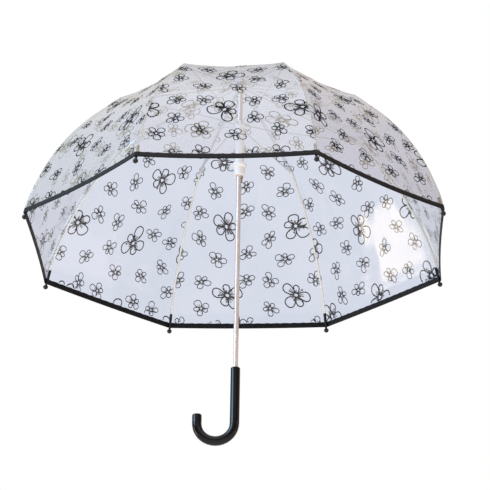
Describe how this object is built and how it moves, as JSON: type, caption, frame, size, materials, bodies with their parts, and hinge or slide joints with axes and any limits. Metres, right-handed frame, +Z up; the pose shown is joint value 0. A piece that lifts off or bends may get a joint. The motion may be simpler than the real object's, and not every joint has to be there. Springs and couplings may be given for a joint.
{
  "type": "dome umbrella",
  "caption": "Open dome umbrella with clear flower-printed film on hinged ribs, a sliding runner with stretchers, a slim steel shaft and a crook handle.",
  "frame": {"origin": "on the shaft axis, at the middle of the handle's straight limb, where the hand grips it", "axes": "+Z up along the shaft towards the ferrule, the crook bends towards -X, the front pair of ribs stands either side of -Y"},
  "size_m": [0.6628, 0.6628, 0.6598],
  "materials": {
    "shaft_steel": "slim polished steel tube",
    "handle_gloss": "glossy black",
    "white_plastic": "smooth white",
    "wire_steel": "galvanised wire",
    "catch_steel": "tempered spring steel",
    "rib_steel": "thin drawn steel",
    "rib_fibreglass": "cream glass-fibre rod",
    "tip_plastic": "black moulded",
    "film": "clear soft film with a line-drawn flower print"
  },
  "bodies": {
    "umbrella_stick": {"shaft": "shaft_steel", "handle": "handle_gloss", "crown": "white_plastic", "crown_ring": "wire_steel", "film_washer": "white_plastic", "ferrule": "white_plastic"},
    "runner": {"runner": "white_plastic", "runner_ring": "wire_steel"},
    "top_catch": {"top_catch": "catch_steel"},
    "bottom_catch": {"bottom_catch": "catch_steel"},
    "rib_upper_1": {"rib_upper_1": "rib_steel", "film_upper_1": "film"},
    "rib_lower_1": {"rib_lower_1": "rib_fibreglass", "rib_tip_1": "tip_plastic", "film_lower_1": "film"},
    "stretcher_1": {"stretcher_1": "rib_steel"},
    "rib_upper_2": {"rib_upper_2": "rib_steel", "film_upper_2": "film"},
    "rib_lower_2": {"rib_lower_2": "rib_fibreglass", "rib_tip_2": "tip_plastic", "film_lower_2": "film"},
    "stretcher_2": {"stretcher_2": "rib_steel"},
    "rib_upper_3": {"rib_upper_3": "rib_steel", "film_upper_3": "film"},
    "rib_lower_3": {"rib_lower_3": "rib_fibreglass", "rib_tip_3": "tip_plastic", "film_lower_3": "film"},
    "stretcher_3": {"stretcher_3": "rib_steel"},
    "rib_upper_4": {"rib_upper_4": "rib_steel", "film_upper_4": "film"},
    "rib_lower_4": {"rib_lower_4": "rib_fibreglass", "rib_tip_4": "tip_plastic", "film_lower_4": "film"},
    "stretcher_4": {"stretcher_4": "rib_steel"},
    "rib_upper_5": {"rib_upper_5": "rib_steel", "film_upper_5": "film"},
    "rib_lower_5": {"rib_lower_5": "rib_fibreglass", "rib_tip_5": "tip_plastic", "film_lower_5": "film"},
    "stretcher_5": {"stretcher_5": "rib_steel"},
    "rib_upper_6": {"rib_upper_6": "rib_steel", "film_upper_6": "film"},
    "rib_lower_6": {"rib_lower_6": "rib_fibreglass", "rib_tip_6": "tip_plastic", "film_lower_6": "film"},
    "stretcher_6": {"stretcher_6": "rib_steel"},
    "rib_upper_7": {"rib_upper_7": "rib_steel", "film_upper_7": "film"},
    "rib_lower_7": {"rib_lower_7": "rib_fibreglass", "rib_tip_7": "tip_plastic", "film_lower_7": "film"},
    "stretcher_7": {"stretcher_7": "rib_steel"},
    "rib_upper_8": {"rib_upper_8": "rib_steel", "film_upper_8": "film"},
    "rib_lower_8": {"rib_lower_8": "rib_fibreglass", "rib_tip_8": "tip_plastic", "film_lower_8": "film"},
    "stretcher_8": {"stretcher_8": "rib_steel"}
  },
  "joints": [
    {"name": "runner_slide", "type": "slide", "parent": "umbrella_stick", "child": "runner", "axis": [0, 0, -1], "range_m": [0, 0.31394], "deforming": ["film_upper_1", "film_lower_1", "film_upper_2", "film_lower_2", "film_upper_3", "film_lower_3", "film_upper_4", "film_lower_4", "film_upper_5", "film_lower_5", "film_upper_6", "film_lower_6", "film_upper_7", "film_lower_7", "film_upper_8", "film_lower_8"]},
    {"name": "top_catch_press", "type": "slide", "parent": "umbrella_stick", "child": "top_catch", "axis": [-1, 0, 0], "range_m": [0, 0.0028], "stiffness_N_per_m": 1500, "springref_m": -0.001},
    {"name": "bottom_catch_press", "type": "slide", "parent": "umbrella_stick", "child": "bottom_catch", "axis": [-1, 0, 0], "range_m": [0, 0.0028], "stiffness_N_per_m": 1500, "springref_m": -0.001},
    {"name": "rib_fold_1", "type": "hinge", "parent": "umbrella_stick", "child": "rib_upper_1", "pos_m": [-0.00298, -0.00721, 0.5455], "axis": [0.9239, -0.3827, 0], "range_deg": [0, 69.65]},
    {"name": "knuckle_1", "type": "hinge", "parent": "rib_upper_1", "child": "rib_lower_1", "pos_m": [-0.07746, -0.18699, 0.4842], "axis": [-0.9239, 0.3827, 0], "range_deg": [0, 37.22]},
    {"name": "stretcher_turn_1", "type": "hinge", "parent": "runner", "child": "stretcher_1", "pos_m": [-0.00298, -0.00721, 0.477], "axis": [-0.9239, 0.3827, 0], "range_deg": [0, 84.77]},
    {"name": "rib_fold_2", "type": "hinge", "parent": "umbrella_stick", "child": "rib_upper_2", "pos_m": [0.00298, -0.00721, 0.5455], "axis": [0.9239, 0.3827, 0], "range_deg": [0, 69.65]},
    {"name": "knuckle_2", "type": "hinge", "parent": "rib_upper_2", "child": "rib_lower_2", "pos_m": [0.07746, -0.18699, 0.4842], "axis": [-0.9239, -0.3827, 0], "range_deg": [0, 37.22]},
    {"name": "stretcher_turn_2", "type": "hinge", "parent": "runner", "child": "stretcher_2", "pos_m": [0.00298, -0.00721, 0.477], "axis": [-0.9239, -0.3827, 0], "range_deg": [0, 84.77]},
    {"name": "rib_fold_3", "type": "hinge", "parent": "umbrella_stick", "child": "rib_upper_3", "pos_m": [0.00721, -0.00298, 0.5455], "axis": [0.3827, 0.9239, 0], "range_deg": [0, 69.65]},
    {"name": "knuckle_3", "type": "hinge", "parent": "rib_upper_3", "child": "rib_lower_3", "pos_m": [0.18699, -0.07746, 0.4842], "axis": [-0.3827, -0.9239, 0], "range_deg": [0, 37.22]},
    {"name": "stretcher_turn_3", "type": "hinge", "parent": "runner", "child": "stretcher_3", "pos_m": [0.00721, -0.00298, 0.477], "axis": [-0.3827, -0.9239, 0], "range_deg": [0, 84.77]},
    {"name": "rib_fold_4", "type": "hinge", "parent": "umbrella_stick", "child": "rib_upper_4", "pos_m": [0.00721, 0.00298, 0.5455], "axis": [-0.3827, 0.9239, 0], "range_deg": [0, 69.65]},
    {"name": "knuckle_4", "type": "hinge", "parent": "rib_upper_4", "child": "rib_lower_4", "pos_m": [0.18699, 0.07746, 0.4842], "axis": [0.3827, -0.9239, 0], "range_deg": [0, 37.22]},
    {"name": "stretcher_turn_4", "type": "hinge", "parent": "runner", "child": "stretcher_4", "pos_m": [0.00721, 0.00298, 0.477], "axis": [0.3827, -0.9239, 0], "range_deg": [0, 84.77]},
    {"name": "rib_fold_5", "type": "hinge", "parent": "umbrella_stick", "child": "rib_upper_5", "pos_m": [0.00298, 0.00721, 0.5455], "axis": [-0.9239, 0.3827, 0], "range_deg": [0, 69.65]},
    {"name": "knuckle_5", "type": "hinge", "parent": "rib_upper_5", "child": "rib_lower_5", "pos_m": [0.07746, 0.18699, 0.4842], "axis": [0.9239, -0.3827, 0], "range_deg": [0, 37.22]},
    {"name": "stretcher_turn_5", "type": "hinge", "parent": "runner", "child": "stretcher_5", "pos_m": [0.00298, 0.00721, 0.477], "axis": [0.9239, -0.3827, 0], "range_deg": [0, 84.77]},
    {"name": "rib_fold_6", "type": "hinge", "parent": "umbrella_stick", "child": "rib_upper_6", "pos_m": [-0.00298, 0.00721, 0.5455], "axis": [-0.9239, -0.3827, 0], "range_deg": [0, 69.65]},
    {"name": "knuckle_6", "type": "hinge", "parent": "rib_upper_6", "child": "rib_lower_6", "pos_m": [-0.07746, 0.18699, 0.4842], "axis": [0.9239, 0.3827, 0], "range_deg": [0, 37.22]},
    {"name": "stretcher_turn_6", "type": "hinge", "parent": "runner", "child": "stretcher_6", "pos_m": [-0.00298, 0.00721, 0.477], "axis": [0.9239, 0.3827, 0], "range_deg": [0, 84.77]},
    {"name": "rib_fold_7", "type": "hinge", "parent": "umbrella_stick", "child": "rib_upper_7", "pos_m": [-0.00721, 0.00298, 0.5455], "axis": [-0.3827, -0.9239, 0], "range_deg": [0, 69.65]},
    {"name": "knuckle_7", "type": "hinge", "parent": "rib_upper_7", "child": "rib_lower_7", "pos_m": [-0.18699, 0.07746, 0.4842], "axis": [0.3827, 0.9239, 0], "range_deg": [0, 37.22]},
    {"name": "stretcher_turn_7", "type": "hinge", "parent": "runner", "child": "stretcher_7", "pos_m": [-0.00721, 0.00298, 0.477], "axis": [0.3827, 0.9239, 0], "range_deg": [0, 84.77]},
    {"name": "rib_fold_8", "type": "hinge", "parent": "umbrella_stick", "child": "rib_upper_8", "pos_m": [-0.00721, -0.00298, 0.5455], "axis": [0.3827, -0.9239, 0], "range_deg": [0, 69.65]},
    {"name": "knuckle_8", "type": "hinge", "parent": "rib_upper_8", "child": "rib_lower_8", "pos_m": [-0.18699, -0.07746, 0.4842], "axis": [-0.3827, 0.9239, 0], "range_deg": [0, 37.22]},
    {"name": "stretcher_turn_8", "type": "hinge", "parent": "runner", "child": "stretcher_8", "pos_m": [-0.00721, -0.00298, 0.477], "axis": [-0.3827, 0.9239, 0], "range_deg": [0, 84.77]}
  ],
  "couplings": [
    {"joint": "rib_fold_1", "follows": "runner_slide", "rad_per_m": 3.8721},
    {"joint": "knuckle_1", "follows": "runner_slide", "rad_per_m": 2.0691},
    {"joint": "stretcher_turn_1", "follows": "runner_slide", "rad_per_m": 4.7125},
    {"joint": "rib_fold_2", "follows": "runner_slide", "rad_per_m": 3.8721},
    {"joint": "knuckle_2", "follows": "runner_slide", "rad_per_m": 2.0691},
    {"joint": "stretcher_turn_2", "follows": "runner_slide", "rad_per_m": 4.7125},
    {"joint": "rib_fold_3", "follows": "runner_slide", "rad_per_m": 3.8721},
    {"joint": "knuckle_3", "follows": "runner_slide", "rad_per_m": 2.0691},
    {"joint": "stretcher_turn_3", "follows": "runner_slide", "rad_per_m": 4.7125},
    {"joint": "rib_fold_4", "follows": "runner_slide", "rad_per_m": 3.8721},
    {"joint": "knuckle_4", "follows": "runner_slide", "rad_per_m": 2.0691},
    {"joint": "stretcher_turn_4", "follows": "runner_slide", "rad_per_m": 4.7125},
    {"joint": "rib_fold_5", "follows": "runner_slide", "rad_per_m": 3.8721},
    {"joint": "knuckle_5", "follows": "runner_slide", "rad_per_m": 2.0691},
    {"joint": "stretcher_turn_5", "follows": "runner_slide", "rad_per_m": 4.7125},
    {"joint": "rib_fold_6", "follows": "runner_slide", "rad_per_m": 3.8721},
    {"joint": "knuckle_6", "follows": "runner_slide", "rad_per_m": 2.0691},
    {"joint": "stretcher_turn_6", "follows": "runner_slide", "rad_per_m": 4.7125},
    {"joint": "rib_fold_7", "follows": "runner_slide", "rad_per_m": 3.8721},
    {"joint": "knuckle_7", "follows": "runner_slide", "rad_per_m": 2.0691},
    {"joint": "stretcher_turn_7", "follows": "runner_slide", "rad_per_m": 4.7125},
    {"joint": "rib_fold_8", "follows": "runner_slide", "rad_per_m": 3.8721},
    {"joint": "knuckle_8", "follows": "runner_slide", "rad_per_m": 2.0691},
    {"joint": "stretcher_turn_8", "follows": "runner_slide", "rad_per_m": 4.7125}
  ]
}
